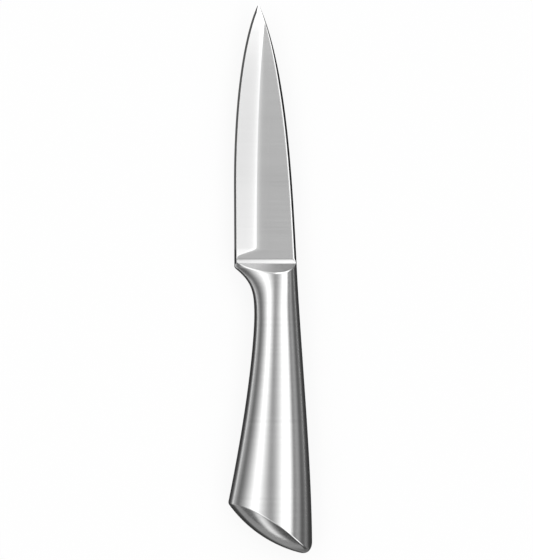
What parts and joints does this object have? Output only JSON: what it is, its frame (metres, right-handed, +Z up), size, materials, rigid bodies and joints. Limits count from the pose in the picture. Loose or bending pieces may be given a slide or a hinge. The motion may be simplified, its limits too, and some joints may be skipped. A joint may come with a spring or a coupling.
{
  "type": "paring knife",
  "caption": "Small kitchen knife with a pointed, tapered blade, a sloped bolster and a hollow, flaring steel handle with a slanted rounded butt.",
  "frame": {"origin": "middle of the underside of the knife's box, with the knife lying on its right side", "axes": "+Y along the knife to its tip, +X across it from the cutting edge to the spine, +Z up through its thickness to its left side"},
  "size_m": [0.0294, 0.1916, 0.0173],
  "materials": {
    "blade_steel": "fine satin, ground across the blade",
    "handle_steel": "brushed round the handle",
    "weld_steel": "ground flush and brushed"
  },
  "bodies": {
    "root": {"blade": "blade_steel", "bolster": "handle_steel", "blade_weld": "weld_steel", "tang_weld": "weld_steel", "bolster_ring_weld": "weld_steel", "handle_shell_left": "handle_steel", "handle_shell_right": "handle_steel", "spine_seam_weld": "weld_steel", "belly_seam_weld": "weld_steel", "butt_ring_weld": "weld_steel", "butt_cap": "handle_steel"}
  },
  "joints": []
}
